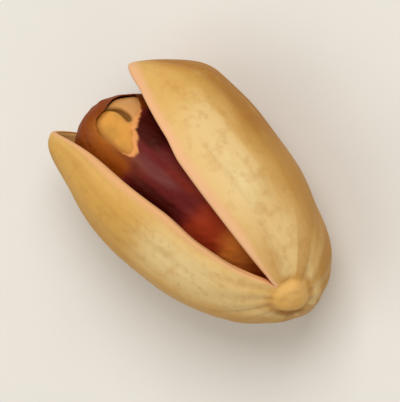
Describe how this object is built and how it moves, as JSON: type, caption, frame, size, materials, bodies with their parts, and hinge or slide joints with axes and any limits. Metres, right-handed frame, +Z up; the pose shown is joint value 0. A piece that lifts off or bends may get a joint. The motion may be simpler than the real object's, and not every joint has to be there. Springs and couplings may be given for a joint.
{
  "type": "pistachio in shell",
  "caption": "Roasted pistachio in its hard cream shell, split along the seam into two gaping valves over a purple-skinned kernel.",
  "frame": {"origin": "on the table, under the middle of the nut's bounding box", "axes": "+X from the stem end to the gaping tips, +Y across the valves, +Z up, on the wide side of the split"},
  "size_m": [0.023, 0.0148, 0.0125],
  "materials": {
    "shell": "satin",
    "kernel": "satin"
  },
  "bodies": {
    "root": {"shell": "shell", "kernel": "kernel"}
  },
  "joints": []
}
